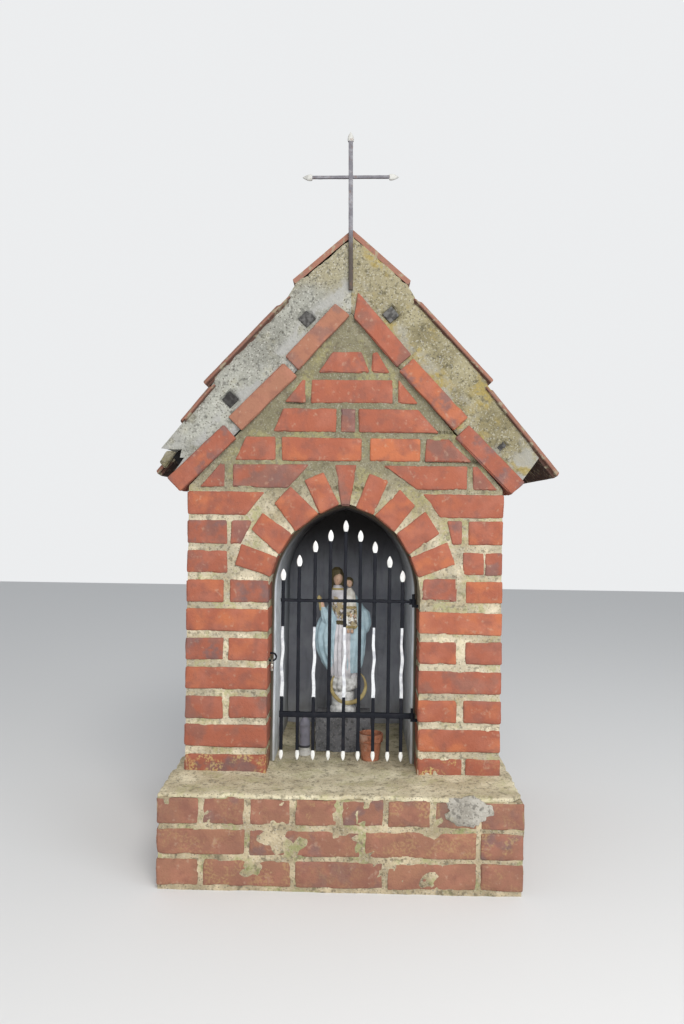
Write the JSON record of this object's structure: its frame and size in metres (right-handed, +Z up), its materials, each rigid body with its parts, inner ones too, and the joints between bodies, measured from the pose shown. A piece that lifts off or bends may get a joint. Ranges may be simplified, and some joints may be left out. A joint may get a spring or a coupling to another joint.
{
  "type": "wayside shrine",
  "caption": "Brick wayside shrine on a square base, with a pointed niche, hinged iron gate, statue, tiled gable roof and iron cross.",
  "frame": {"origin": "ground level, under the middle of the square base", "axes": "+Z up, -Y out of the front, +X to the right as seen from the front"},
  "size_m": [1.221, 0.99, 2.1291],
  "materials": {
    "brick": "fired clay brick, orange red, matt, weathered",
    "mortar": "lime and cement mortar, beige grey, sandy, with lichen",
    "plaster": "grey lime plaster, trowelled, stained",
    "roof_tile": "fired clay roof tile, salmon red, matt, weathered",
    "weathered_wood": "dark weathered softwood",
    "black_iron": "black paint on forged iron, satin",
    "grey_iron": "worn grey violet paint on forged iron",
    "white_iron": "white paint on forged iron, brushed on",
    "padlock_metal": "dull plated steel",
    "painted_figure": "painted plaster casting, matt",
    "grave_light": "grey housing with a paler foot",
    "terracotta": "unglazed red clay, matt"
  },
  "bodies": {
    "shrine": {"left_pier": "brick", "right_pier": "brick", "gable_front": "brick", "arch_bricks": "brick", "left_wall": "brick", "right_wall": "brick", "back_wall": "brick", "verge_bricks_left": "brick", "verge_bricks_right": "brick", "verge_bricks_back": "brick", "plinth": "mortar", "plinth_cap": "mortar", "roof_bed_left": "mortar", "roof_bed_right": "mortar", "niche_floor": "plaster", "niche_plaster_left": "plaster", "niche_plaster_right": "plaster", "niche_plaster_back": "plaster", "niche_vault": "plaster", "statue_block": "plaster", "tiles_left_lower": "roof_tile", "tiles_left_upper": "roof_tile", "tiles_right_lower": "roof_tile", "tiles_right_upper": "roof_tile", "ridge_tiles": "roof_tile", "battens": "weathered_wood", "hinge_pin_upper": "black_iron", "hinge_pin_lower": "black_iron", "latch_staple": "black_iron", "cross_upright": "grey_iron", "cross_arm": "grey_iron", "cross_tips": "white_iron", "padlock": "padlock_metal", "statue": "painted_figure", "grave_light": "grave_light", "flower_pot": "terracotta"},
    "gate": {"gate_rails": "black_iron", "gate_bars": "black_iron", "gate_wavy_bars": "white_iron", "gate_spear_tips": "white_iron", "gate_foot_tips": "white_iron", "gate_hinge_eyes": "black_iron"}
  },
  "joints": [
    {"name": "gate_hinge", "type": "hinge", "parent": "shrine", "child": "gate", "pos_m": [0.2058, -0.26, 0.6], "axis": [0, 0, 1], "range_deg": [0, 90]}
  ]
}
